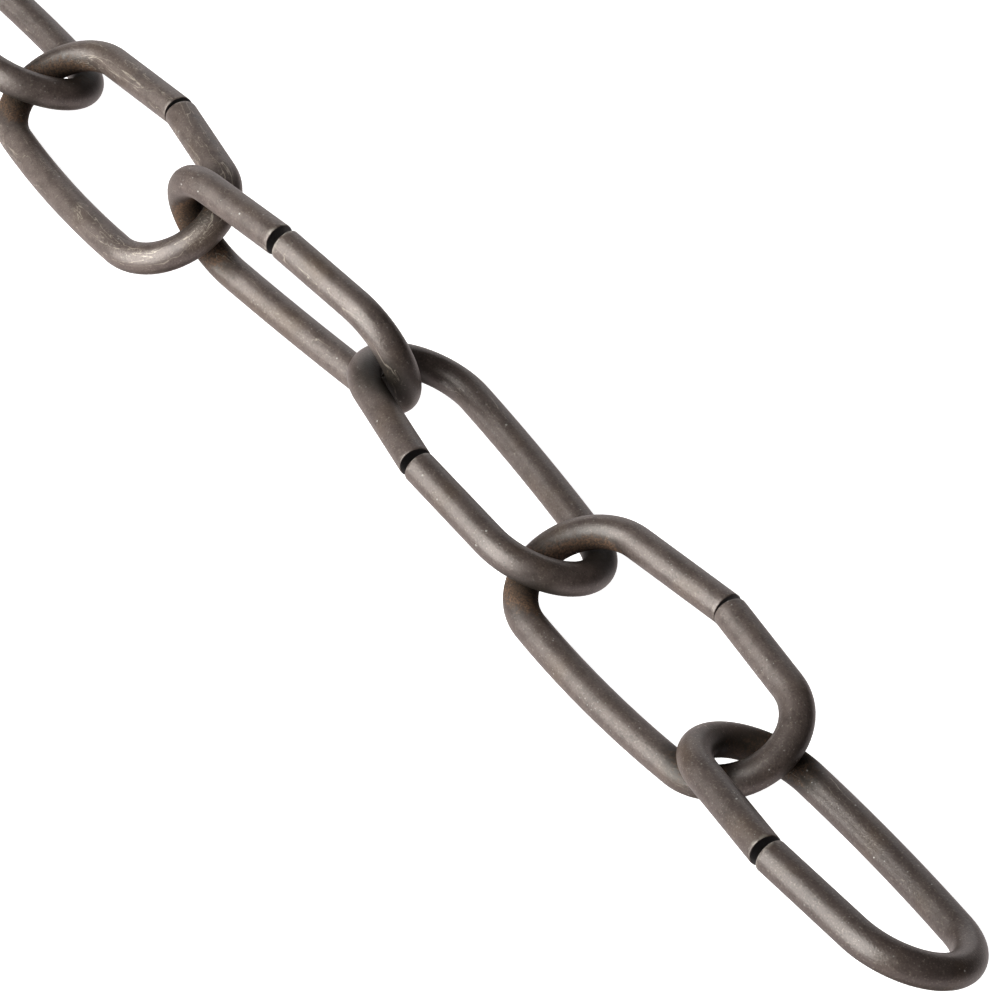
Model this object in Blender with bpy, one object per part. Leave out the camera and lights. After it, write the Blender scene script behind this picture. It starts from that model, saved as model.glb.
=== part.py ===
"""Length of open-link lamp chain, lying stretched out on a floor.

Every link is one piece of round steel wire bent to a long loop. Its two ends meet at
the middle of one long side and leave a narrow slit. Link 1 is the free end, and the
chain runs from there along +X. Lengths are in metres and +Z is up.
"""
import math

import bmesh
import bpy
from mathutils import Matrix, Vector

MM = 0.001

LINK_COUNT = 31
WIRE_DIAMETER = 3.2 * MM
WIRE_RADIUS = WIRE_DIAMETER / 2
HALF_STRAIGHT = 10.57 * MM
CROWN_RADIUS = 6.2 * MM
RUNNING_GAP = 0.45 * MM

# The wire's section is a polygon with the area of the round wire.
WIRE_SIDES = 12
SECTION_RADIUS = WIRE_RADIUS * math.sqrt(
    2.0 * math.pi / (WIRE_SIDES * math.sin(2.0 * math.pi / WIRE_SIDES))
)
CROWN_STEPS = 11
SIDE_STEPS = 4

BRONZE = (0.105, 0.085, 0.072, 1.0)

# The links that the photo shows, nearest first. along and across are the place of the
# link's middle in millimetres, from the middle of link 1. Angles are in degrees: lean
# turns a link about its long axis, rise lifts its far end, turn swings it about the
# vertical, slope is how far each half of the slit side bends outward, and bow is how far
# the whole side bends outward at each of its ends. skew shifts the slit side along the
# link, as a share of its distance from the middle. slit is the slit's width at the wire's
# middle and off is how far along the link it lies off the link's middle, in millimetres.
PHOTO_LINKS = [
    {"along": 0.0, "across": 0.0, "lean": 26.1, "rise": -1.9, "turn": -2.5,
     "slope": 6.1, "bow": 4.3, "skew": 0.0, "slit": 0.65, "off": 0.0},
    {"along": 28.67, "across": -2.34, "lean": 158.2, "rise": -0.4, "turn": 0.3,
     "slope": 6.5, "bow": 4.6, "skew": 0.03, "slit": 0.35, "off": -1.0},
    {"along": 57.70, "across": -3.17, "lean": 24.5, "rise": 2.0, "turn": -4.7,
     "slope": 6.9, "bow": 3.2, "skew": 0.0, "slit": 0.65, "off": 0.0},
    {"along": 85.49, "across": -0.36, "lean": 75.9, "rise": -0.3, "turn": 5.3,
     "slope": 4.6, "bow": 2.9, "skew": 0.04, "slit": 0.85, "off": -0.4},
    {"along": 115.15, "across": 1.18, "lean": 152.3, "rise": -3.5, "turn": -3.9,
     "slope": 6.4, "bow": 4.7, "skew": 0.07, "slit": 0.5, "off": -0.65},
    {"along": 144.62, "across": 0.72, "lean": 25.4, "rise": 2.8, "turn": 3.2,
     "slope": 6.7, "bow": 6.2, "skew": -0.05, "slit": 0.55, "off": 0.0},
]

# The links past the photo's edge lean by turns to either side and lie in one line.
HIDDEN_LEAN = 36.0
HIDDEN_SHAPE = {"slope": 5.9, "bow": 4.3, "skew": 0.0, "slit": 0.55, "off": 0.0}


def clear_scene():
    """Remove the objects of the default scene."""
    for item in list(bpy.data.objects):
        bpy.data.objects.remove(item, do_unlink=True)


def make_bronze():
    """Dark bronze finish of the steel wire."""
    material = bpy.data.materials.new("dark_bronze")
    material.use_nodes = True
    shader = material.node_tree.nodes["Principled BSDF"]
    shader.inputs["Base Color"].default_value = BRONZE
    shader.inputs["Metallic"].default_value = 0.8
    shader.inputs["Roughness"].default_value = 0.42
    return material


def slit_half(pose, side):
    """One straight half of the slit side, in the link's own plane.

    side is 1 for the far half and -1 for the near half. The halves meet at the slit, and
    each bends outward by the angle that takes it there. Returns that angle, the point where
    the half leaves its crown and the point at the wire's end.
    """
    even = math.radians(pose["slope"])
    peak = (CROWN_RADIUS + HALF_STRAIGHT * math.sin(even)) / math.cos(even)
    run = HALF_STRAIGHT - side * pose["off"] * MM
    slope = math.atan2(peak, run) - math.asin(CROWN_RADIUS / math.hypot(run, peak))
    leave = Vector((
        side * (HALF_STRAIGHT + CROWN_RADIUS * math.sin(slope)),
        CROWN_RADIUS * math.cos(slope),
        0.0,
    ))
    end_x = (pose["off"] + side * pose["slit"] / 2) * MM
    end_y = leave.y + abs(leave.x - end_x) * math.tan(slope)
    return slope, leave, Vector((end_x, end_y, 0.0))


def bowed_side(pose):
    """Centre and radius of the long arc that the whole side follows."""
    bow = math.radians(pose["bow"])
    meet_x = HALF_STRAIGHT + CROWN_RADIUS * math.sin(bow)
    radius = meet_x / math.sin(bow)
    return Vector((0.0, (radius - CROWN_RADIUS) * math.cos(bow), 0.0)), radius


def skew_matrix(skew):
    """Shift of a link's slit side along the link, as a shear in its own plane."""
    matrix = Matrix.Identity(4)
    matrix[0][1] = -skew
    return matrix


def extrude_ring(mesh, ring, step):
    """Extrude the ring of wire edges by a step and return the new ring."""
    made = bmesh.ops.extrude_edge_only(mesh, edges=ring)
    verts = [item for item in made["geom"] if isinstance(item, bmesh.types.BMVert)]
    edges = [item for item in made["geom"] if isinstance(item, bmesh.types.BMEdge)]
    bmesh.ops.translate(mesh, vec=step, verts=verts)
    return edges


def spin_ring(mesh, ring, centre, angle, steps):
    """Spin the ring of wire edges about a centre and return the new ring."""
    verts = {vert for edge in ring for vert in edge.verts}
    made = bmesh.ops.spin(
        mesh,
        geom=list(verts) + list(ring),
        cent=centre,
        axis=(0.0, 0.0, 1.0),
        dvec=(0.0, 0.0, 0.0),
        angle=angle,
        steps=steps,
        use_duplicate=False,
    )
    return [item for item in made["geom_last"] if isinstance(item, bmesh.types.BMEdge)]


def make_link_mesh(name, pose):
    """One link at the origin: long along X, slit at +Y, flat ends at the slit.

    The wire's section is turned so that one of its flats faces down at this lean.
    """
    far_slope, far_leave, far_end = slit_half(pose, 1)
    near_slope, near_leave, near_end = slit_half(pose, -1)
    side_centre, side_radius = bowed_side(pose)
    bow = math.radians(pose["bow"])
    flat_turn = math.radians(pose["lean"]) - math.pi / 2 - math.pi / WIRE_SIDES
    mesh = bmesh.new()
    # The first ring stands across the far half of the slit side, at the slit.
    across = (
        Matrix.Rotation(-far_slope, 4, "Z")
        @ Matrix.Rotation(math.pi / 2, 4, "Y")
        @ Matrix.Rotation(flat_turn, 4, "Z")
    )
    made = bmesh.ops.create_circle(
        mesh,
        cap_ends=False,
        radius=SECTION_RADIUS,
        segments=WIRE_SIDES,
        matrix=Matrix.Translation(far_end) @ across,
    )
    verts = set(made["verts"])
    ring = [edge for edge in mesh.edges if edge.verts[0] in verts]
    first_ring = list(ring)
    far_turn = -(math.pi - far_slope - bow)
    near_turn = -(math.pi - near_slope - bow)
    ring = extrude_ring(mesh, ring, far_leave - far_end)
    ring = spin_ring(mesh, ring, (HALF_STRAIGHT, 0.0, 0.0), far_turn, CROWN_STEPS)
    ring = spin_ring(mesh, ring, side_centre, -2 * bow, SIDE_STEPS)
    ring = spin_ring(mesh, ring, (-HALF_STRAIGHT, 0.0, 0.0), near_turn, CROWN_STEPS)
    ring = extrude_ring(mesh, ring, near_end - near_leave)
    bmesh.ops.contextual_create(mesh, geom=first_ring)
    bmesh.ops.contextual_create(mesh, geom=ring)
    bmesh.ops.transform(mesh, matrix=skew_matrix(pose["skew"]), verts=mesh.verts[:])
    bmesh.ops.recalc_face_normals(mesh, faces=mesh.faces[:])
    data = bpy.data.meshes.new(name)
    mesh.to_mesh(data)
    mesh.free()
    return data


def centreline(pose):
    """Points along a link's centreline, for finding its lowest side."""
    bow = math.radians(pose["bow"])
    points = []
    for side in (1, -1):
        slope, leave, end = slit_half(pose, side)
        turn = math.pi - slope - bow
        points.append(end)
        for step in range(41):
            angle = math.pi / 2 - slope - turn * step / 40
            points.append(Vector((
                side * (HALF_STRAIGHT + CROWN_RADIUS * math.cos(angle)),
                CROWN_RADIUS * math.sin(angle),
                0.0,
            )))
    side_centre, side_radius = bowed_side(pose)
    for step in range(21):
        angle = bow * (step / 10 - 1.0)
        points.append(side_centre + Vector((math.sin(angle), -math.cos(angle), 0.0)) * side_radius)
    return [skew_matrix(pose["skew"]) @ point for point in points]


def link_turn(pose):
    """Rotation of a link from its lean, rise and turn."""
    return (
        Matrix.Rotation(math.radians(pose["turn"]), 4, "Z")
        @ Matrix.Rotation(-math.radians(pose["rise"]), 4, "Y")
        @ Matrix.Rotation(math.radians(pose["lean"]), 4, "X")
    )


def hidden_pose(number):
    """How a link past the photo's edge lies."""
    lean = 180.0 - HIDDEN_LEAN if number % 2 else HIDDEN_LEAN
    return {"lean": lean, "rise": 0.0, "turn": 0.0, **HIDDEN_SHAPE}


def on_the_floor(middle, turn, pose):
    """World matrix of a link with the given middle, dropped or raised onto the floor."""
    lowest = min((turn @ point).z for point in centreline(pose))
    return Matrix.Translation((middle.x, middle.y, WIRE_RADIUS - lowest)) @ turn


def chain_layout():
    """Pose and world matrix of every link, from the free end along the chain."""
    reach = HALF_STRAIGHT + CROWN_RADIUS
    layout = []
    for number in range(1, LINK_COUNT + 1):
        if number <= len(PHOTO_LINKS):
            pose = PHOTO_LINKS[number - 1]
            turn = link_turn(pose)
            middle = Vector((pose["along"], pose["across"], 0.0)) * MM
        else:
            pose = hidden_pose(number)
            turn = link_turn(pose)
            before = layout[-1][1]
            hang = before @ Vector((reach - WIRE_DIAMETER - RUNNING_GAP, 0.0, 0.0))
            middle = hang + turn.to_3x3() @ Vector((reach, 0.0, 0.0))
        layout.append((pose, on_the_floor(middle, turn, pose)))
    return layout


def main():
    """Build the chain, with its floor at z = 0 and its middle over the origin."""
    clear_scene()
    bronze = make_bronze()
    links = []
    for number, (pose, matrix) in enumerate(chain_layout(), start=1):
        name = f"link_{number:02d}"
        mesh = make_link_mesh(name, pose)
        mesh.materials.append(bronze)
        link = bpy.data.objects.new(name, mesh)
        link.matrix_world = matrix
        bpy.context.scene.collection.objects.link(link)
        links.append(link)
    bpy.context.view_layer.update()
    corners = [link.matrix_world @ vert.co for link in links for vert in link.data.vertices]
    low = Vector(min(point[axis] for point in corners) for axis in range(3))
    high = Vector(max(point[axis] for point in corners) for axis in range(3))
    offset = Vector((-(low.x + high.x) / 2, -(low.y + high.y) / 2, -low.z))
    for link in links:
        link.matrix_world = Matrix.Translation(offset) @ link.matrix_world


if __name__ == "__main__":
    main()
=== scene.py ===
"""Stretched length of open-link lamp chain: finished links, floor, light and camera."""

import logging
import math
import random
from dataclasses import dataclass, field
from enum import Enum

import bmesh
import bpy
import numpy as np
from mathutils import Matrix, Vector


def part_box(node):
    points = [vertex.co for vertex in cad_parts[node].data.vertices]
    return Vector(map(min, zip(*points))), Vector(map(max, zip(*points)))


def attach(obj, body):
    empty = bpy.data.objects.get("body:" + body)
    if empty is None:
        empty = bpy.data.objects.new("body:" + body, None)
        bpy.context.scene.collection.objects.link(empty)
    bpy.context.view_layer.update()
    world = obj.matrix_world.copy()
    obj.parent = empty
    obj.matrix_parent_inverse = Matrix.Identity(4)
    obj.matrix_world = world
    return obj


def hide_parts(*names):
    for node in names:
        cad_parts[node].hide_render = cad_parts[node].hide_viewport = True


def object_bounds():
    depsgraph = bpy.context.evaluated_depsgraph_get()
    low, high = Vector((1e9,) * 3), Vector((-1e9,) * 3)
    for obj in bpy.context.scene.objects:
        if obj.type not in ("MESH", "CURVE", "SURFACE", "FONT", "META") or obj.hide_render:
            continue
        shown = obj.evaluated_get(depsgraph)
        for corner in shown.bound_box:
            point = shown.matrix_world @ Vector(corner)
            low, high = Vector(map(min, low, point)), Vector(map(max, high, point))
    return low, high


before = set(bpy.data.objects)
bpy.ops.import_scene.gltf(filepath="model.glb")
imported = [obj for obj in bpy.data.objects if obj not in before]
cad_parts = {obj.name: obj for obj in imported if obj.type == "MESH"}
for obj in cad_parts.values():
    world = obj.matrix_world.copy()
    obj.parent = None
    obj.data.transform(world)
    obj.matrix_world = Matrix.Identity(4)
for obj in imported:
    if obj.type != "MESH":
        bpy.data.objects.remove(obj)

CAD_BOUNDS = [list(map(float, corner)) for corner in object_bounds()]
LOG = logging.getLogger("lamp_chain")

MM = 0.001
LINK_COUNT = 31
PLACE_LAYER = "wire_place"

# Points on a link's centreline: on each crown, and on each half of a side.
CROWN_SAMPLES = 41
SIDE_SAMPLES = 12
# How many vertices are compared with a neighbour's centreline at once.
GAP_BATCH = 2000
# A speck: how sharply its place is chosen, its least radius and its soft edge, the last
# two as shares of the radius asked for.
SPECK_CHOICE = 0.02
SPECK_LEAST = 0.5
SPECK_EDGE = 0.35
# What cloudy noise varies about.
NOISE_MIDDLE = 0.5
# How far from the chain's near end the lights aim, in metres.
AIM_ALONG = 0.09


class LeanSide(Enum):
    """The side that a hidden link leans to, as its lean in degrees."""

    LEFT = 36.0
    RIGHT = 144.0


@dataclass(frozen=True)
class WireStock:
    """The round wire that every link is bent from."""

    diameter: float = 3.2 * MM
    sides: int = 40

    @property
    def radius(self) -> float:
        """Half of the wire's diameter."""
        return self.diameter / 2.0


@dataclass(frozen=True)
class LinkPattern:
    """Sizes that all links share, as in the CAD model."""

    half_straight: float = 10.57 * MM
    crown_radius: float = 6.2 * MM
    running_gap: float = 0.45 * MM
    crown_steps: int = 34
    side_steps: int = 10
    half_side_steps: int = 5
    end_step: float = 0.42 * MM

    @property
    def reach(self) -> float:
        """Distance from a link's middle to the wire's middle at a crown."""
        return self.half_straight + self.crown_radius


@dataclass(frozen=True)
class LinkLie:
    """How one link lies and how it is bent, as in the CAD model.

    Attributes:
        along: place of its middle along the chain, in millimetres.
        across: place of its middle across the chain, in millimetres.
        lean: turn about its long axis, in degrees.
        rise: lift of its far end, in degrees.
        turn: swing about the vertical, in degrees.
        slope: how far each half of the slit side bends outward, in degrees.
        bow: how far the whole side bends outward at each end, in degrees.
        skew: shift of the slit side along the link, as a share of its distance.
        slit: the slit's width in millimetres.
        off: how far the slit lies off the link's middle, in millimetres.
    """

    along: float
    across: float
    lean: float
    rise: float
    turn: float
    slope: float
    bow: float
    skew: float
    slit: float
    off: float = 0.0


@dataclass(frozen=True)
class LinkWear:
    """How worn one link is, from 0 to 1, and how light its coat is (tone, from the darker coat at
    0 to the lighter one at 1). end_tilt is in degrees.
    """

    far_rust: float = 0.3
    near_rust: float = 0.2
    scratches: float = 0.35
    dust: float = 0.5
    tone: float = 0.5
    rim: float = 0.5
    end_tilt: float = 2.0


PHOTO_LIES: tuple[LinkLie, ...] = (
    LinkLie(0.0, 0.0, 26.1, -1.9, -2.5, 6.1, 4.3, 0.0, 0.65),
    LinkLie(28.67, -2.34, 158.2, -0.4, 0.3, 6.5, 4.6, 0.03, 0.35, -1.0),
    LinkLie(57.70, -3.17, 24.5, 2.0, -4.7, 6.9, 3.2, 0.0, 0.65),
    LinkLie(85.49, -0.36, 75.9, -0.3, 5.3, 4.6, 2.9, 0.04, 0.85, -0.4),
    LinkLie(115.15, 1.18, 152.3, -3.5, -3.9, 6.4, 4.7, 0.07, 0.5, -0.65),
    LinkLie(144.62, 0.72, 25.4, 2.8, 3.2, 6.7, 6.2, -0.05, 0.55),
)

PHOTO_WEAR: tuple[LinkWear, ...] = (
    LinkWear(far_rust=0.5, near_rust=0.15, scratches=0.25, dust=0.6, tone=0.0, rim=0.5),
    LinkWear(far_rust=0.85, near_rust=0.5, scratches=0.15, dust=0.7, tone=0.5, rim=0.1),
    LinkWear(far_rust=0.25, near_rust=0.2, scratches=0.25, dust=0.4, tone=0.42, rim=0.5),
    LinkWear(far_rust=1.0, near_rust=0.2, scratches=0.5, dust=0.6, tone=0.75, rim=1.0),
    LinkWear(far_rust=0.8, near_rust=0.4, scratches=0.8, dust=0.5, tone=0.85, rim=0.2),
    LinkWear(far_rust=0.4, near_rust=0.3, scratches=0.4, dust=0.4, tone=0.55),
)


class Layout:
    """Where every link lies, in the CAD model's frame."""

    def __init__(self, wire: WireStock, pattern: LinkPattern) -> None:
        """Keep the sizes that the layout is worked out from."""
        self.wire = wire
        self.pattern = pattern

    def hidden_lie(self, number: int) -> LinkLie:
        """How a link past the photo's edge lies.

        Args:
            number: the link's number, from 1 at the free end.

        Returns:
            Its lie. Its place along the chain follows from the link before it.
        """
        side = LeanSide.RIGHT if number % 2 else LeanSide.LEFT
        return LinkLie(
            along=0.0,
            across=0.0,
            lean=side.value,
            rise=0.0,
            turn=0.0,
            slope=5.9,
            bow=4.3,
            skew=0.0,
            slit=0.55,
        )

    def slit_half(self, lie: LinkLie, side: int) -> tuple[float, Vector, Vector]:
        """Slope and ends of one straight half of the slit side.

        Args:
            lie: the link's lie, for its slope, its slit and how far off centre that is.
            side: 1 for the far half, -1 for the near half.

        Returns:
            How far the half bends outward in radians, where it leaves its crown, and
            where the wire ends.
        """
        p = self.pattern
        even = math.radians(lie.slope)
        peak = (p.crown_radius + p.half_straight * math.sin(even)) / math.cos(even)
        run = p.half_straight - side * lie.off * MM
        slope = math.atan2(peak, run) - math.asin(p.crown_radius / math.hypot(run, peak))
        leave = Vector((
            side * (p.half_straight + p.crown_radius * math.sin(slope)),
            p.crown_radius * math.cos(slope),
            0.0,
        ))
        end_x = (lie.off + side * lie.slit / 2.0) * MM
        end_y = leave.y + abs(leave.x - end_x) * math.tan(slope)
        return slope, leave, Vector((end_x, end_y, 0.0))

    def bowed_side(self, lie: LinkLie) -> tuple[Vector, float]:
        """Centre and radius of the long arc that the whole side follows."""
        p = self.pattern
        bow = math.radians(lie.bow)
        radius = (p.half_straight + p.crown_radius * math.sin(bow)) / math.sin(bow)
        return Vector((0.0, (radius - p.crown_radius) * math.cos(bow), 0.0)), radius

    def centreline(self, lie: LinkLie) -> np.ndarray:
        """Points along a link's centreline, in its own plane.

        Args:
            lie: the link's lie, for its slope, bow, slit and skew.

        Returns:
            An array of points in metres.
        """
        p = self.pattern
        bow = math.radians(lie.bow)
        centre, radius = self.bowed_side(lie)
        runs = []
        for side in (1, -1):
            slope, leave, end = self.slit_half(lie, side)
            sweep = np.linspace(math.pi / 2.0 - slope, bow - math.pi / 2.0, CROWN_SAMPLES)
            swing = np.linspace(bow, 0.0, SIDE_SAMPLES)
            runs.append(np.linspace(tuple(end), tuple(leave), SIDE_SAMPLES))
            runs.append(np.stack([
                side * (p.half_straight + p.crown_radius * np.cos(sweep)),
                p.crown_radius * np.sin(sweep),
                np.zeros_like(sweep),
            ], axis=1))
            runs.append(np.stack([
                side * radius * np.sin(swing),
                centre.y - radius * np.cos(swing),
                np.zeros_like(swing),
            ], axis=1))
        points = np.concatenate(runs)
        points[:, 0] -= lie.skew * points[:, 1]
        return points

    def turned(self, lie: LinkLie) -> Matrix:
        """Rotation of a link from its lean, rise and turn."""
        return (
            Matrix.Rotation(math.radians(lie.turn), 4, "Z")
            @ Matrix.Rotation(-math.radians(lie.rise), 4, "Y")
            @ Matrix.Rotation(math.radians(lie.lean), 4, "X")
        )

    def all_links(self) -> list[tuple[LinkLie, Matrix]]:
        """Lie and world matrix of every link.

        Returns:
            One pair for each link, from the free end, set onto the CAD nodes.
        """
        p = self.pattern
        placed: list[tuple[LinkLie, Matrix]] = []
        for number in range(1, LINK_COUNT + 1):
            shown = number <= len(PHOTO_LIES)
            lie = PHOTO_LIES[number - 1] if shown else self.hidden_lie(number)
            turn = self.turned(lie)
            if shown:
                middle = Vector((lie.along, lie.across, 0.0)) * MM
            else:
                hang = Vector((p.reach - self.wire.diameter - p.running_gap, 0.0, 0.0))
                middle = placed[-1][1] @ hang + turn.to_3x3() @ Vector((p.reach, 0.0, 0.0))
            line = self.centreline(lie) @ np.array(turn.to_3x3()).T
            height = self.wire.radius - float(line[:, 2].min())
            placed.append((lie, Matrix.Translation((middle.x, middle.y, height)) @ turn))
        return self.onto_cad(placed)

    def onto_cad(self, placed: list[tuple[LinkLie, Matrix]]) -> list[tuple[LinkLie, Matrix]]:
        """Move the whole layout so that its first and last link cover their CAD nodes."""
        spans = []
        for index in (0, LINK_COUNT - 1):
            lie, matrix = placed[index]
            turned = np.array(matrix.to_3x3())
            line = self.centreline(lie) @ turned.T + np.array(matrix.translation)
            low, high = (Vector(corner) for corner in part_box(f"link_{index + 1:02d}"))
            spans.append((low + high) / 2.0 - Vector((line.min(0) + line.max(0)) / 2.0))
        shift = (spans[0] + spans[1]) / 2.0
        LOG.info("layout shift %s, ends differ by %s", shift, spans[0] - spans[1])
        move = Matrix.Translation((shift.x, shift.y, 0.0))
        return [(lie, move @ matrix) for lie, matrix in placed]


@dataclass
class ChainLink:
    """One link of the chain, as a smooth closed mesh with wire coordinates."""

    number: int
    lie: LinkLie
    matrix: Matrix
    wear: LinkWear
    wire: WireStock
    layout: Layout
    end_bevel: float = 0.10 * MM
    bevel_segments: int = 3
    near_tilt_share: float = 0.4
    contact_reach: float = 4.2 * MM
    rust_gain: float = 1.3
    rust_start: float = 0.3
    rim_width: float = 0.3 * MM
    travel: float = field(default=0.0, init=False)

    @property
    def node(self) -> str:
        """Name of the CAD node that this link stands for."""
        return f"link_{self.number:02d}"

    def first_ring(self, mesh: bmesh.types.BMesh, end: Vector, slope: float) -> list:
        """Make the ring of edges at the far half's end and give it wire coordinates.

        Args:
            mesh: the mesh under construction.
            end: the centre of the wire's end.
            slope: how far the slit side bends outward, in radians.

        Returns:
            The ring's edges.
        """
        across = Matrix.Rotation(-slope, 4, "Z") @ Matrix.Rotation(math.pi / 2.0, 4, "Y")
        made = bmesh.ops.create_circle(
            mesh,
            cap_ends=False,
            radius=self.wire.radius,
            segments=self.wire.sides,
            matrix=Matrix.Translation(end) @ across,
        )
        layer = mesh.verts.layers.float_vector[PLACE_LAYER]
        outward = Vector((math.sin(slope), math.cos(slope), 0.0))
        for vert in made["verts"]:
            spoke = vert.co - end
            vert[layer] = (0.0, spoke.dot(outward), spoke.z)
        return list(dict.fromkeys(edge for vert in made["verts"] for edge in vert.link_edges))

    @staticmethod
    def grow(mesh: bmesh.types.BMesh, ring: list) -> tuple[list, list]:
        """Extrude a ring of edges, without moving the new one.

        Args:
            mesh: the mesh under construction.
            ring: the edges of the last ring.

        Returns:
            The new ring's edges and its vertices.
        """
        made = bmesh.ops.extrude_edge_only(mesh, edges=ring)["geom"]
        edges = [item for item in made if isinstance(item, bmesh.types.BMEdge)]
        verts = [item for item in made if isinstance(item, bmesh.types.BMVert)]
        return edges, verts

    def mark_ring(self, mesh: bmesh.types.BMesh, verts: list, step: float) -> None:
        """Write how far along the wire a new ring lies."""
        self.travel += step
        layer = mesh.verts.layers.float_vector[PLACE_LAYER]
        for vert in verts:
            place = vert[layer]
            vert[layer] = (self.travel, place[1], place[2])

    def run_straight(self, mesh: bmesh.types.BMesh, ring: list, step: Vector, count: int) -> list:
        """Extrude the ring along a straight in equal steps.

        Args:
            mesh: the mesh under construction.
            ring: the edges of the last ring.
            step: the whole way of the straight.
            count: how many steps it is made in.

        Returns:
            The edges of the new last ring.
        """
        for _ in range(count):
            ring, verts = self.grow(mesh, ring)
            bmesh.ops.translate(mesh, vec=step / count, verts=verts)
            self.mark_ring(mesh, verts, step.length / count)
        return ring

    def run_arc(self, mesh: bmesh.types.BMesh, ring: list, centre: Vector, radius: float,
                angle: float, count: int) -> list:
        """Spin the ring round a centre in equal steps.

        Args:
            mesh: the mesh under construction.
            ring: the edges of the last ring.
            centre: the arc's centre.
            radius: the arc's radius.
            angle: the whole turn in radians.
            count: how many steps it is made in.

        Returns:
            The edges of the new last ring.
        """
        turn = Matrix.Rotation(angle / count, 3, "Z")
        for _ in range(count):
            ring, verts = self.grow(mesh, ring)
            bmesh.ops.rotate(mesh, cent=centre, matrix=turn, verts=verts)
            self.mark_ring(mesh, verts, abs(angle) / count * radius)
        return ring

    def cap_end(self, mesh: bmesh.types.BMesh, ring: list, tilt: float) -> None:
        """Close a wire end with a sheared face and a softly broken rim.

        Args:
            mesh: the mesh under construction.
            ring: the edges of the end's ring.
            tilt: how far the sheared face leans, in radians.
        """
        verts = list(dict.fromkeys(vert for edge in ring for vert in edge.verts))
        centre = sum((vert.co for vert in verts), Vector()) / len(verts)
        bmesh.ops.rotate(mesh, cent=centre, matrix=Matrix.Rotation(tilt, 3, "Z"), verts=verts)
        bmesh.ops.contextual_create(mesh, geom=ring)
        bmesh.ops.bevel(
            mesh,
            geom=ring,
            offset=self.end_bevel,
            affect="EDGES",
            segments=self.bevel_segments,
            profile=0.5,
            material=-1,
        )

    def build(self) -> bpy.types.Object:
        """Bend the wire to the link and put it in its place.

        Returns:
            The link's object, at the origin, with its place in its mesh.
        """
        pattern = self.layout.pattern
        bow = math.radians(self.lie.bow)
        far_slope, far_leave, far_end = self.layout.slit_half(self.lie, 1)
        near_slope, near_leave, near_end = self.layout.slit_half(self.lie, -1)
        side_centre, side_radius = self.layout.bowed_side(self.lie)
        mesh = bmesh.new()
        mesh.verts.layers.float_vector.new(PLACE_LAYER)
        ring = self.first_ring(mesh, far_end, far_slope)
        start = list(ring)
        away = far_leave - far_end
        rim = away.normalized() * pattern.end_step
        far = Vector((pattern.half_straight, 0.0, 0.0))
        far_turn = far_slope + bow - math.pi
        near_turn = near_slope + bow - math.pi
        ring = self.run_straight(mesh, ring, rim, 1)
        ring = self.run_straight(mesh, ring, away - rim, pattern.half_side_steps)
        ring = self.run_arc(mesh, ring, far, pattern.crown_radius, far_turn, pattern.crown_steps)
        ring = self.run_arc(mesh, ring, side_centre, side_radius, -2.0 * bow, pattern.side_steps)
        ring = self.run_arc(mesh, ring, -far, pattern.crown_radius, near_turn, pattern.crown_steps)
        home = near_end - near_leave
        rim = home.normalized() * pattern.end_step
        ring = self.run_straight(mesh, ring, home - rim, pattern.half_side_steps)
        ring = self.run_straight(mesh, ring, rim, 1)
        tilt = math.radians(self.wear.end_tilt)
        self.cap_end(mesh, start, tilt)
        self.cap_end(mesh, ring, tilt * self.near_tilt_share)
        skew = Matrix.Identity(4)
        skew[0][1] = -self.lie.skew
        bmesh.ops.transform(mesh, matrix=self.matrix @ skew, verts=mesh.verts[:])
        bmesh.ops.recalc_face_normals(mesh, faces=mesh.faces[:])
        for face in mesh.faces:
            face.smooth = len(face.verts) == 4
        data = bpy.data.meshes.new(f"wire_{self.node}")
        mesh.to_mesh(data)
        mesh.free()
        link = bpy.data.objects.new(f"wire_{self.node}", data)
        bpy.context.scene.collection.objects.link(link)
        return link

    def world_line(self) -> np.ndarray:
        """The link's centreline in world coordinates."""
        line = self.layout.centreline(self.lie)
        return line @ np.array(self.matrix.to_3x3()).T + np.array(self.matrix.translation)

    def nearness(self, places: np.ndarray, line: np.ndarray) -> np.ndarray:
        """How near the wire's surface comes to a neighbour.

        Args:
            places: the link's vertices.
            line: the neighbour's centreline.

        Returns:
            A number for each vertex, from 0 out of reach to 1 at a touch.
        """
        gap = np.full(len(places), 1.0, np.float32)
        for start in range(0, len(places), GAP_BATCH):
            part = places[start:start + GAP_BATCH, None] - line[None]
            gap[start:start + GAP_BATCH] = np.sqrt((part * part).sum(2).min(1))
        return np.clip(1.0 - (gap - self.wire.radius) / self.contact_reach, 0.0, 1.0)

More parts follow.
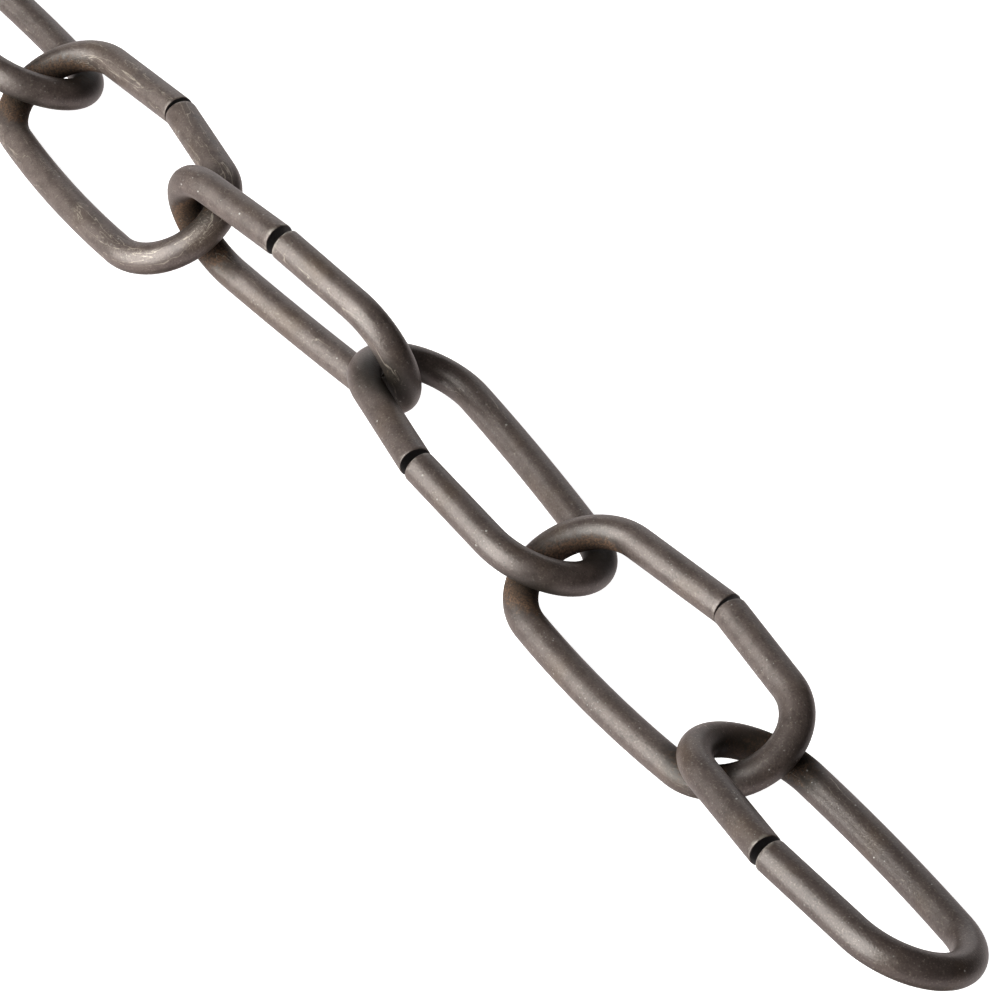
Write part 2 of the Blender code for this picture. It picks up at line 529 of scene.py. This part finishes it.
    def write_wear(self, link: bpy.types.Object, before: np.ndarray | None,
                   after: np.ndarray | None) -> None:
        """Write the mesh attributes that the finish reads.

        Args:
            link: the link's object.
            before: the centreline of the link before it, or None.
            after: the centreline of the link after it, or None.
        """
        count = len(link.data.vertices)
        places = np.empty(count * 3, np.float32)
        link.data.vertices.foreach_get("co", places)
        places = places.reshape(count, 3)
        wire = np.empty(count * 3, np.float32)
        link.data.attributes[PLACE_LAYER].data.foreach_get("vector", wire)
        travel = wire.reshape(count, 3)[:, 0]
        contact = np.zeros(count, np.float32)
        rust = np.zeros(count, np.float32)
        for line, share in ((before, self.wear.near_rust), (after, self.wear.far_rust)):
            if line is None:
                continue
            near = self.nearness(places, line)
            close = np.clip(near * self.rust_gain - self.rust_start, 0.0, 1.0)
            contact = np.maximum(contact, near)
            rust = np.maximum(rust, close * share)
        whole = float(travel.max())
        rim = (np.minimum(travel, whole - travel) < self.rim_width).astype(np.float32)
        cut = np.zeros(count, np.float32)
        for face in link.data.polygons:
            if len(face.vertices) > 4:
                cut[list(face.vertices)] = 1.0
        # contact is how near each vertex comes to a neighbour; the finish paints shade and adds
        # roughness with it.
        sheets = {
            "contact": contact,
            "rust": rust,
            "rim": (rim - cut) * self.wear.rim,
            "cut": cut,
            "scratches": np.full(count, self.wear.scratches),
            "dust": np.full(count, self.wear.dust),
            "tone": np.full(count, self.wear.tone),
        }
        for name, values in sheets.items():
            layer = link.data.attributes.new(name, "FLOAT", "POINT")
            layer.data.foreach_set("value", np.asarray(values, np.float32))


@dataclass(frozen=True)
class Number:
    """One number in a shader, which Python's operators work on."""

    bench: "ShaderBench"
    socket: bpy.types.NodeSocket

    def __add__(self, other: "Number | float") -> "Number":
        """Sum of two numbers."""
        return self.bench.maths("ADD", self, other)

    def __sub__(self, other: "Number | float") -> "Number":
        """Difference of two numbers."""
        return self.bench.maths("SUBTRACT", self, other)

    def __rsub__(self, other: "Number | float") -> "Number":
        """Difference with this number on the right."""
        return self.bench.maths("SUBTRACT", other, self)

    def __mul__(self, other: "Number | float") -> "Number":
        """Product of two numbers."""
        return self.bench.maths("MULTIPLY", self, other)

    def __abs__(self) -> "Number":
        """This number without its sign."""
        return self.bench.maths("ABSOLUTE", self)

    def rising(self, low: float, high: float) -> "Number":
        """A soft step from 0 at low to 1 at high.

        Args:
            low: where the step starts.
            high: where it ends. It may be below low, and then the step falls.

        Returns:
            The step, kept between 0 and 1.
        """
        node = self.bench.node(
            "ShaderNodeMapRange",
            {"interpolation_type": "SMOOTHSTEP", "clamp": True},
            {"Value": self, "From Min": low, "From Max": high},
        )
        return Number(self.bench, node.outputs["Result"])

    def kept(self) -> "Number":
        """This number, kept between 0 and 1."""
        node = self.bench.node("ShaderNodeClamp", {}, {"Value": self})
        return Number(self.bench, node.outputs["Result"])


@dataclass
class ShaderBench:
    """Makes and joins the nodes of one material, or of the studio's surroundings."""

    owner: bpy.types.Material | bpy.types.World

    @property
    def tree(self) -> bpy.types.NodeTree:
        """The owner's node tree."""
        return self.owner.node_tree

    def join(self, value: object, socket: bpy.types.NodeSocket) -> None:
        """Set a socket to a value, or link one to it.

        Args:
            value: a Number, a socket, a number or a tuple.
            socket: the socket that takes it.
        """
        if isinstance(value, Number):
            value = value.socket
        if isinstance(value, bpy.types.NodeSocket):
            self.tree.links.new(value, socket)
        else:
            socket.default_value = value

    def node(self, kind: str, settings: dict, inputs: dict) -> bpy.types.Node:
        """Make any node.

        Args:
            kind: the node's type name.
            settings: its own settings, set first.
            inputs: values or links for its sockets, by name or number.

        Returns:
            The node.
        """
        node = self.tree.nodes.new(kind)
        for name, value in settings.items():
            setattr(node, name, value)
        for name, value in inputs.items():
            self.join(value, node.inputs[name])
        return node

    def maths(self, operation: str, *terms: "Number | float") -> Number:
        """One Math node.

        Args:
            operation: the node's operation.
            terms: its numbers, in order.

        Returns:
            Its result.
        """
        node = self.node("ShaderNodeMath", {"operation": operation}, dict(enumerate(terms)))
        return Number(self, node.outputs[0])

    def colour(self, factor: "Number | float", low: object,
               high: object) -> bpy.types.NodeSocket:
        """Mix two colours.

        Args:
            factor: how much of the second colour there is.
            low: the first colour, a tuple or a socket.
            high: the second colour, a tuple or a socket.

        Returns:
            The mixed colour's socket.
        """
        settings = {"data_type": "RGBA", "blend_type": "MIX", "clamp_factor": True}
        node = self.node("ShaderNodeMix", settings, {0: factor, 6: low, 7: high})
        return node.outputs[2]

    def attribute(self, name: str) -> Number:
        """A number that the mesh keeps at each vertex."""
        node = self.node("ShaderNodeAttribute", {"attribute_name": name}, {})
        return Number(self, node.outputs["Fac"])

    def object_mm(self) -> bpy.types.NodeSocket:
        """The place on the object in millimetres."""
        place = self.node("ShaderNodeTexCoord", {}, {}).outputs["Object"]
        return self.stretched(place, (1.0 / MM,) * 3)

    def wire_mm(self, scale: tuple[float, float, float]) -> bpy.types.NodeSocket:
        """The place along and around the wire in millimetres.

        Args:
            scale: how much the pattern is stretched along each of the three directions.

        Returns:
            The place's socket.
        """
        place = self.node("ShaderNodeAttribute", {"attribute_name": PLACE_LAYER}, {})
        return self.stretched(place.outputs["Vector"], tuple(part / MM for part in scale))

    def stretched(self, vector: bpy.types.NodeSocket,
                  scale: tuple[float, ...]) -> bpy.types.NodeSocket:
        """A vector times a scale along each axis."""
        node = self.node("ShaderNodeVectorMath", {"operation": "MULTIPLY"}, {0: vector, 1: scale})
        return node.outputs[0]

    def shifted(self, vector: bpy.types.NodeSocket,
                shift: tuple[float, float, float]) -> bpy.types.NodeSocket:
        """A vector with a shift, so that two patterns don't fall together."""
        node = self.node("ShaderNodeVectorMath", {"operation": "ADD"}, {0: vector, 1: shift})
        return node.outputs[0]

    def noise(self, place: bpy.types.NodeSocket, size: float, detail: float = 2.0,
              roughness: float = 0.5, distortion: float = 0.0) -> Number:
        """Cloudy noise.

        Args:
            place: where it is read, in millimetres.
            size: about how large its patches are, in millimetres.
            detail: how many finer layers it has.
            roughness: how strong the finer layers are.
            distortion: how much it swirls.

        Returns:
            A number about 0.5.
        """
        node = self.node("ShaderNodeTexNoise", {}, {
            "Vector": place,
            "Scale": 1.0 / size,
            "Detail": detail,
            "Roughness": roughness,
            "Distortion": distortion,
        })
        return Number(self, node.outputs["Fac"])

    def specks(self, place: bpy.types.NodeSocket, spacing: float, radius: float,
               share: float) -> Number:
        """Scattered round specks.

        Args:
            place: where they are read, in millimetres.
            spacing: about how far apart their places are, in millimetres.
            radius: a speck's radius in millimetres.
            share: the share of the places that have a speck.

        Returns:
            1 on a speck and 0 elsewhere.
        """
        cells = self.node("ShaderNodeTexVoronoi", {}, {"Vector": place, "Scale": 1.0 / spacing})
        away = Number(self, cells.outputs["Distance"]) * spacing
        split = self.node("ShaderNodeSeparateColor", {}, {"Color": cells.outputs["Color"]})
        least = 1.0 - share
        chosen = Number(self, split.outputs["Red"]).rising(least, least + SPECK_CHOICE)
        swell = Number(self, split.outputs["Green"]) * radius + radius * SPECK_LEAST
        return (swell - away).rising(0.0, radius * SPECK_EDGE) * chosen


@dataclass(frozen=True)
class DarkBronze:
    """Satin dark bronze finish on steel wire, with dust, fine scratches and rust, and painted
    shade where links touch.

    Sizes are in millimetres. A share is how much of its layer shows where it is strongest.
    """

    coat: tuple[float, ...] = (0.088, 0.066, 0.060, 1.0)
    coat_light: tuple[float, ...] = (0.150, 0.115, 0.103, 1.0)
    coat_deep: tuple[float, ...] = (0.058, 0.042, 0.037, 1.0)
    coat_warm: tuple[float, ...] = (0.130, 0.086, 0.056, 1.0)
    # Dark colour of the pits in the grain, and also of the painted shade where links touch.
    pit_and_shade_dark: tuple[float, ...] = (0.022, 0.018, 0.015, 1.0)
    dust: tuple[float, ...] = (0.62, 0.60, 0.57, 1.0)
    scratch: tuple[float, ...] = (0.43, 0.37, 0.31, 1.0)
    rust_light: tuple[float, ...] = (0.215, 0.110, 0.056, 1.0)
    rust_dark: tuple[float, ...] = (0.050, 0.026, 0.015, 1.0)
    bare: tuple[float, ...] = (0.46, 0.42, 0.37, 1.0)
    # The end faces: dark coat, darkened further to near black as painted shade.
    cut: tuple[float, ...] = (0.016, 0.014, 0.014, 1.0)
    metallic: float = 0.30
    gloss_index: float = 1.75
    roughness: float = 0.35
    grain_size: float = 0.20
    mottle_size: float = 1.3
    drift_size: float = 6.0
    rust_size: float = 0.55
    rust_tone_size: float = 0.2
    bare_size: float = 0.8
    rust_gain: float = 1.5
    rust_level: float = 0.62
    mottle_share: float = 0.45
    warm_share: float = 0.4
    speckle_share: float = 0.30
    pit_share: float = 0.55
    contact_shade_share: float = 0.85
    painted_shade_mix_share: float = 0.85
    bare_share: float = 0.7
    scratch_share: float = 0.7
    line_spread: float = 0.32
    nick_spread: float = 0.26
    fine_dust_share: float = 0.55
    crumb_share: float = 1.2
    drifted_dust: float = 0.85
    even_dust: float = 0.15
    mottle_roughness: float = 0.14
    cover_roughness: float = 0.35
    contact_roughness: float = 0.08
    grain_height: float = 1.0
    mottle_height: float = 0.5
    rust_height: float = 1.6
    dust_height: float = 0.5
    bump_strength: float = 0.5
    bump_depth: float = 0.06 * MM

    def make(self) -> bpy.types.Material:
        """Build the finish.

        Returns:
            The material that all links share.
        """
        material = bpy.data.materials.new("dark_bronze_satin")
        material.use_nodes = True
        bench = ShaderBench(material)
        bench.tree.nodes.clear()
        place = bench.object_mm()
        contact = bench.attribute("contact")

        grain = bench.noise(place, self.grain_size, detail=3.0, roughness=0.65)
        mottle = bench.noise(place, self.mottle_size, detail=3.0, roughness=0.6)
        drift = bench.noise(bench.shifted(place, (31.0, 7.0, 3.0)), self.drift_size)
        base = bench.colour(bench.attribute("tone"), self.coat, self.coat_light)
        coat = bench.colour(mottle.rising(0.58, 0.36) * self.mottle_share, base, self.coat_deep)
        coat = bench.colour(drift.rising(0.5, 0.75) * self.warm_share, coat, self.coat_warm)
        coat = bench.colour(grain.rising(0.54, 0.72) * self.speckle_share, coat, self.scratch)
        coat = bench.colour(grain.rising(0.44, 0.30) * self.pit_share, coat, self.pit_and_shade_dark)
        # Painted shade: the coat darkens towards near black where a neighbouring link comes close.
        coat = bench.colour(contact.rising(0.10, 0.80) * self.contact_shade_share, coat, self.pit_and_shade_dark)

        cloud_place = bench.shifted(place, (5.0, 19.0, 2.0))
        cloud = bench.noise(cloud_place, self.rust_size, detail=4.0, roughness=0.7)
        rust = bench.attribute("rust") * self.rust_gain + cloud - self.rust_level
        rust = rust.rising(0.12, 0.55)
        tone_place = bench.shifted(place, (2.0, 1.0, 8.0))
        rust_tone = bench.noise(tone_place, self.rust_tone_size, detail=3.0, roughness=0.7)
        rusty = bench.colour(rust_tone.rising(0.36, 0.66), self.rust_dark, self.rust_light)
        coat = bench.colour(rust, coat, rusty)

        scratches = self.scratches(bench)
        coat = bench.colour(scratches, coat, self.scratch)

        dust = self.dust_specks(bench, place)
        coat = bench.colour(dust, coat, self.dust)

        patches = bench.noise(bench.shifted(place, (9.0, 4.0, 4.0)), self.bare_size)
        bare = bench.attribute("rim") * patches.rising(0.42, 0.6)
        coat = bench.colour(bare * self.bare_share, coat, self.bare)
        # The end faces get their dark coat and painted shade.
        coat = bench.colour(bench.attribute("cut").rising(0.5, 1.0), coat, self.cut)

        cover = (rust + dust).kept()
        metallic = (1.0 - cover) * self.metallic
        roughness = mottle * self.mottle_roughness + (self.roughness - self.mottle_roughness / 2.0)
        roughness = roughness + cover * self.cover_roughness + contact * self.contact_roughness
        height = grain * self.grain_height + mottle * self.mottle_height
        height = height + rust * rust_tone * self.rust_height + dust * self.dust_height
        bump = bench.node("ShaderNodeBump", {}, {
            "Strength": self.bump_strength,
            "Distance": self.bump_depth,
            "Height": height,
        })
        surface = bench.node("ShaderNodeBsdfPrincipled", {}, {
            "Base Color": coat,
            "Metallic": metallic,
            "Roughness": roughness.kept(),
            "IOR": self.gloss_index,
            "Normal": bump.outputs["Normal"],
        })
        # Painted shade: a dark diffuse surface is mixed in where a neighbouring link comes close,
        # taking away the gloss there.
        painted_shade_bsdf = bench.node("ShaderNodeBsdfDiffuse", {}, {"Color": self.pit_and_shade_dark})
        with_painted_shade = bench.node("ShaderNodeMixShader", {}, {
            0: contact.rising(0.25, 0.95) * self.painted_shade_mix_share,
            1: surface.outputs[0],
            2: painted_shade_bsdf.outputs[0],
        })
        bench.node("ShaderNodeOutputMaterial", {}, {"Surface": with_painted_shade.outputs[0]})
        return material

    def scratches(self, bench: ShaderBench) -> Number:
        """Thin pale hairlines that run mostly along the wire."""
        amount = bench.attribute("scratches")
        lines = bench.noise(
            bench.wire_mm((0.14, 1.0, 1.0)),
            size=1.1,
            detail=3.0,
            roughness=0.45,
            distortion=0.4,
        )
        crumble = bench.noise(bench.wire_mm((1.0, 1.0, 1.0)), size=0.2).rising(0.30, 0.46)
        thin = abs(lines - NOISE_MIDDLE).rising(0.008, 0.002) * crumble
        where = bench.noise(bench.wire_mm((0.25, 1.0, 1.0)), size=2.6)
        along = thin * (where + amount * self.line_spread).rising(0.70, 0.80)
        knocks = bench.noise(
            bench.wire_mm((1.0, 0.55, 0.55)),
            size=0.7,
            detail=3.0,
            roughness=0.6,
            distortion=1.2,
        )
        nick = abs(knocks - NOISE_MIDDLE).rising(0.014, 0.004)
        spot = bench.noise(bench.wire_mm((0.5, 1.0, 1.0)), size=1.9)
        nicks = nick * (spot + amount * self.nick_spread).rising(0.78, 0.88)
        return (along * self.scratch_share + nicks * self.scratch_share).kept()

    def dust_specks(self, bench: ShaderBench, place: bpy.types.NodeSocket) -> Number:
        """Fine pale dust and a few larger crumbs."""
        amount = bench.attribute("dust")
        fine = bench.specks(place, spacing=0.43, radius=0.055, share=0.9)
        crumb_place = bench.shifted(place, (3.0, 3.0, 9.0))
        crumbs = bench.specks(crumb_place, spacing=1.0, radius=0.085, share=0.9)
        drifts = bench.noise(bench.shifted(place, (8.0, 2.0, 6.0)), size=2.6).rising(0.42, 0.66)
        specks = fine * self.fine_dust_share + crumbs * self.crumb_share
        thickness = drifts * self.drifted_dust + self.even_dust
        return (specks * amount * thickness).kept()


@dataclass(frozen=True)
class PhotoCamera:
    """The camera, worked out from the outlines of the six links in the photograph."""

    place: tuple[float, float, float] = (-0.686081, 0.207705, 0.319564)
    elevation: float = 41.208
    azimuth: float = -35.451
    roll: float = -1.852
    lens: float = 188.459
    sensor_width: float = 36.0
    clip: tuple[float, float] = (0.01, 50.0)

    def build(self) -> None:
        """Make the camera and look through it."""
        tip = math.radians(self.elevation)
        swing = math.radians(self.azimuth)
        ahead = Vector((
            math.cos(tip) * math.cos(swing),
            math.cos(tip) * math.sin(swing),
            -math.sin(tip),
        ))
        right = ahead.cross(Vector((0.0, 0.0, 1.0))).normalized()
        down = ahead.cross(right)
        turn = math.radians(self.roll)
        side = right * math.cos(turn) + down * math.sin(turn)
        under = down * math.cos(turn) - right * math.sin(turn)
        matrix = Matrix((side, -under, -ahead)).transposed().to_4x4()
        matrix.translation = Vector(self.place)
        data = bpy.data.cameras.new("photo_camera")
        data.lens = self.lens
        data.sensor_width = self.sensor_width
        data.clip_start, data.clip_end = self.clip
        camera = bpy.data.objects.new("photo_camera", data)
        camera.matrix_world = matrix
        bpy.context.scene.collection.objects.link(camera)
        bpy.context.scene.camera = camera


@dataclass(frozen=True)
class SoftBox:
    """One soft studio light."""

    name: str
    toward: tuple[float, float, float]
    away: float
    size: tuple[float, float]
    power: float
    colour: tuple[float, float, float] = (1.0, 1.0, 1.0)

    def build(self, aim: Vector) -> None:
        """Hang the light and turn it to the chain.

        Args:
            aim: the point that it faces.
        """
        data = bpy.data.lights.new(self.name, "AREA")
        data.shape = "RECTANGLE"
        data.size, data.size_y = self.size
        data.energy = self.power
        data.color = self.colour
        lamp = bpy.data.objects.new(self.name, data)
        ray = Vector(self.toward).normalized()
        lamp.location = aim + ray * self.away
        lamp.rotation_euler = ray.to_track_quat("Z", "Y").to_euler()
        bpy.context.scene.collection.objects.link(lamp)


@dataclass(frozen=True)
class Studio:
    """White floor, soft light and plain surroundings."""

    floor_size: float = 8.0
    floor_height: float = -0.0002
    floor_paint: tuple[float, float, float, float] = (0.85, 0.85, 0.85, 1.0)
    floor_roughness: float = 0.9
    floor_glow: float = 1.0
    above: tuple[float, float, float, float] = (0.034, 0.029, 0.027, 1.0)
    floor_throw: tuple[float, float, float, float] = (0.80, 0.725, 0.71, 1.0)
    under: tuple[float, float, float, float] = (0.08, 0.07, 0.062, 1.0)
    shade_band: tuple[float, float] = (-0.99, -0.80)
    room_band: tuple[float, float] = (-0.58, -0.22)
    sweep_way: tuple[float, float] = (0.82, 0.57)
    sweep_band: tuple[float, float] = (0.2, 1.0)
    sweep_height: float = 0.42
    backdrop: tuple[float, float, float, float] = (1.0, 1.0, 1.0, 1.0)
    boxes: tuple[SoftBox, ...] = (
        SoftBox("left_softbox", (0.06, 0.86, 0.36), 1.6, (1.9, 2.4), 81.0, (0.98, 1.0, 0.965)),
        SoftBox("back_softbox", (0.80, -0.56, 0.30), 1.8, (1.8, 0.9), 5.0),
    )

    def floor(self) -> None:
        """Lay the floor under the chain."""
        mesh = bmesh.new()
        bmesh.ops.create_grid(mesh, x_segments=1, y_segments=1, size=self.floor_size / 2.0)
        bmesh.ops.translate(mesh, vec=(0.0, 0.0, self.floor_height), verts=mesh.verts[:])
        data = bpy.data.meshes.new("white_floor")
        mesh.to_mesh(data)
        mesh.free()
        material = bpy.data.materials.new("white_floor")
        material.use_nodes = True
        bench = ShaderBench(material)
        bench.tree.nodes.clear()
        surface = bench.node("ShaderNodeBsdfPrincipled", {}, {
            "Base Color": self.floor_paint,
            "Roughness": self.floor_roughness,
            "Emission Color": self.backdrop,
            "Emission Strength": self.floor_glow,
        })
        bench.node("ShaderNodeOutputMaterial", {}, {"Surface": surface.outputs[0]})
        data.materials.append(material)
        floor = bpy.data.objects.new("white_floor", data)
        floor.visible_diffuse = False
        floor.visible_glossy = False
        floor.visible_shadow = False
        bpy.context.scene.collection.objects.link(floor)

    def surround(self) -> None:
        """Make the room: dim above, with what the floor throws back from below.

        The floor is bright to the sides and shaded straight under the chain, and the
        white sweep behind the chain stands higher than the floor beside it. The room
        itself looks white, as the floor does.
        """
        world = bpy.data.worlds.new("studio_surround")
        world.use_nodes = True
        bench = ShaderBench(world)
        bench.tree.nodes.clear()
        way = bench.node("ShaderNodeTexCoord", {}, {}).outputs["Generated"]
        split = bench.node("ShaderNodeSeparateXYZ", {}, {"Vector": way})
        height = Number(bench, split.outputs["Z"])
        ahead = Number(bench, split.outputs["X"]) * self.sweep_way[0]
        behind = ahead - Number(bench, split.outputs["Y"]) * self.sweep_way[1]
        tone = bench.colour(height.rising(*self.shade_band), self.under, self.floor_throw)
        top = height - behind.rising(*self.sweep_band) * self.sweep_height
        tone = bench.colour(top.rising(*self.room_band), tone, self.above)
        seen = bench.node("ShaderNodeLightPath", {}, {}).outputs["Is Camera Ray"]
        tone = bench.colour(Number(bench, seen), tone, self.backdrop)
        room = bench.node("ShaderNodeBackground", {}, {"Color": tone})
        bench.node("ShaderNodeOutputWorld", {}, {"Surface": room.outputs[0]})
        bpy.context.scene.world = world

    def build(self, aim: Vector) -> None:
        """Set up floor, lights and surroundings.

        Args:
            aim: the point that the lights face.
        """
        self.floor()
        for box in self.boxes:
            box.build(aim)
        self.surround()
        bpy.context.scene.view_settings.view_transform = "Standard"
        bpy.context.scene.view_settings.look = "None"


@dataclass
class LampChain:
    """The whole chain: its links and their finish."""

    wire: WireStock = field(default_factory=WireStock)
    pattern: LinkPattern = field(default_factory=LinkPattern)
    finish: DarkBronze = field(default_factory=DarkBronze)
    seed: int = 7

    def wear_of(self, number: int, dice: random.Random) -> LinkWear:
        """How worn a link is: as the photograph shows, or like its neighbours.

        Args:
            number: the link's number.
            dice: the seeded source of small differences.

        Returns:
            The link's wear.
        """
        if number <= len(PHOTO_WEAR):
            return PHOTO_WEAR[number - 1]
        return LinkWear(
            far_rust=dice.uniform(0.25, 0.85),
            near_rust=dice.uniform(0.1, 0.4),
            scratches=dice.uniform(0.2, 0.7),
            dust=dice.uniform(0.35, 0.6),
            tone=dice.uniform(0.3, 0.75),
            rim=dice.uniform(0.1, 0.7),
            end_tilt=dice.uniform(-3.0, 3.0),
        )

    def build(self) -> None:
        """Make every link and let it ride on its own body."""
        dice = random.Random(self.seed)
        layout = Layout(self.wire, self.pattern)
        material = self.finish.make()
        links = [
            ChainLink(number, lie, matrix, self.wear_of(number, dice), self.wire, layout)
            for number, (lie, matrix) in enumerate(layout.all_links(), start=1)
        ]
        lines = [link.world_line() for link in links]
        for index, link in enumerate(links):
            piece = link.build()
            before = lines[index - 1] if index else None
            after = lines[index + 1] if index + 1 < len(links) else None
            link.write_wear(piece, before, after)
            piece.data.materials.append(material)
            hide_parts(link.node)
            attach(piece, link.node)
            LOG.info("%s: %d faces", piece.name, len(piece.data.polygons))


def main() -> None:
    """Build the chain, then the studio and the camera."""
    logging.basicConfig(level=logging.INFO, format="%(name)s: %(message)s")
    LampChain().build()
    low, high = (Vector(corner) for corner in CAD_BOUNDS)
    near_end = Vector((low.x + AIM_ALONG, (low.y + high.y) / 2.0, 0.0))
    Studio().build(near_end)
    PhotoCamera().build()


if __name__ == "__main__":
    main()
